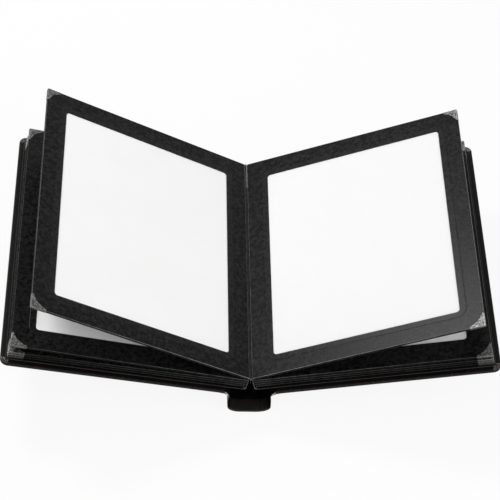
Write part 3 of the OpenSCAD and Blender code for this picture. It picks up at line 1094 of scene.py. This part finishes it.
def make_floor():
    """A pale floor that keeps the album's shadow and shows as nearly white."""
    mesh = bpy.data.meshes.new("floor")
    row = FLOOR_CELLS + 1
    steps = np.linspace(-FLOOR_HALF, FLOOR_HALF, row)
    vertices = [(x, y, -FLOOR_DROP) for y in steps for x in steps]
    firsts = [r * row + c for r in range(FLOOR_CELLS) for c in range(FLOOR_CELLS)]
    mesh.from_pydata(vertices, [], [(i, i + 1, i + row + 1, i + row) for i in firsts])
    floor = bpy.data.objects.new("floor", mesh)
    bpy.context.scene.collection.objects.link(floor)
    material = bpy.data.materials.new("floor")
    material.use_nodes = True
    tree = material.node_tree
    tree.nodes.clear()
    diffuse = tree.nodes.new("ShaderNodeBsdfDiffuse")
    diffuse.inputs["Color"].default_value = (0.9, 0.9, 0.9, 1)
    glow = tree.nodes.new("ShaderNodeEmission")
    glow.inputs["Strength"].default_value = 1.0
    shown = tree.nodes.new("ShaderNodeMixShader")
    shown.inputs[0].default_value = FLOOR_GLOW
    tree.links.new(diffuse.outputs[0], shown.inputs[1])
    tree.links.new(glow.outputs[0], shown.inputs[2])
    output = tree.nodes.new("ShaderNodeOutputMaterial")
    tree.links.new(only_background(tree, diffuse.outputs[0], shown.outputs[0]), output.inputs["Surface"])
    mesh.materials.append(material)
    floor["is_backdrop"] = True


WORLD_LIGHT = 0.30


def make_world():
    """Plain light from all round, and a white background."""
    world = bpy.data.worlds.new("studio")
    bpy.context.scene.world = world
    world.use_nodes = True
    tree = world.node_tree
    tree.nodes.clear()
    light = tree.nodes.new("ShaderNodeBackground")
    light.inputs["Strength"].default_value = WORLD_LIGHT
    shown = tree.nodes.new("ShaderNodeBackground")
    shown.inputs["Strength"].default_value = 1.0
    for node in (light, shown):
        node.inputs["Color"].default_value = (1, 1, 1, 1)
    output = tree.nodes.new("ShaderNodeOutputWorld")
    tree.links.new(only_background(tree, light.outputs[0], shown.outputs[0]), output.inputs["Surface"])


def make_lamp(name, place, aim, size, watts):
    data = bpy.data.lights.new(name, "AREA")
    data.shape = "DISK"
    data.size = size
    data.energy = watts
    lamp = bpy.data.objects.new(name, data)
    bpy.context.scene.collection.objects.link(lamp)
    away = Vector(aim) - Vector(place)
    lamp.matrix_world = Matrix.Translation(place) @ away.to_track_quat("-Z", "Y").to_matrix().to_4x4()


make_floor()
make_world()
make_lamp("front_left", place=(-0.6, -1.0, 1.8), aim=(0, 0, 0.05), size=1.5, watts=5.8)
make_lamp("front_right", place=(1.1, -1.1, 1.2), aim=(0, 0, 0.05), size=1.4, watts=14)
make_lamp("back", place=(-0.62, 0.79, 1.44), aim=(0.15, -0.1, 0.1), size=0.5, watts=15)
bpy.context.scene.view_settings.view_transform = "Standard"


# ---- how far things show from their image points ----

RAY_CLEAR = 2e-4


def shown_places(name):
    """Row-frame vertices of a piece as finished."""
    thing = bpy.data.objects[name]
    mesh = thing.evaluated_get(bpy.context.evaluated_depsgraph_get()).to_mesh()
    return [thing.matrix_world @ vertex.co for vertex in mesh.vertices]


def whole_tree():
    """A tree for rays over every piece as finished, and its vertices."""
    graph = bpy.context.evaluated_depsgraph_get()
    vertices, faces = [], []
    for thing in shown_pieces():
        mesh = thing.evaluated_get(graph).to_mesh()
        start = len(vertices)
        vertices += [thing.matrix_world @ v.co for v in mesh.vertices]
        faces += [[start + i for i in p.vertices] for p in mesh.polygons]
    return BVHTree.FromPolygons(vertices, faces), vertices


def write_points():
    tree, everything = whole_tree()
    eye = camera.matrix_world.translation

    def furthest(places, direction):
        """The pixel of the place that shows and lies furthest in an image direction."""
        seen = [(pixel_of(place), place) for place in places]
        seen.sort(key=lambda s: -(s[0][0] * direction[0] + s[0][1] * direction[1]))
        for pixel, place in seen:
            towards = (eye - place).normalized()
            if tree.ray_cast(place + towards * RAY_CLEAR, towards)[0] is None:
                return pixel
        return seen[0][0]

    for name, direction in (("left", (-1, 0)), ("right", (1, 0)), ("top", (0, -1)), ("bottom", (0, 1))):
        axis = 0 if direction[0] else 1
        round(furthest(everything, direction)[axis] - OBJECT_SIDES[name], 2)

    for side, sign in SIDES.items():
        plates = shown_places(f"{side}_metal_corners_1")
        furthest([p for p in plates if p.y < 0], (sign, 1))
        furthest([p for p in plates if p.y > 0], (sign, -1))
        flat = Flat(side, f"{side}_front_mat_1")
        mats = shown_places(f"{side}_window_mat_1")
    furthest([p for p in shown_places("fold_binding_tape") if p.y < 0], (0, 1))
    left_mat = bpy.data.objects["left_window_mat_1"].data
    on_line = put_at(IMAGE_POINTS["left_line"], [v.co.copy() for v in left_mat.vertices],
                     [tuple(p.vertices) for p in left_mat.polygons])


bpy.context.view_layer.update()
write_points()
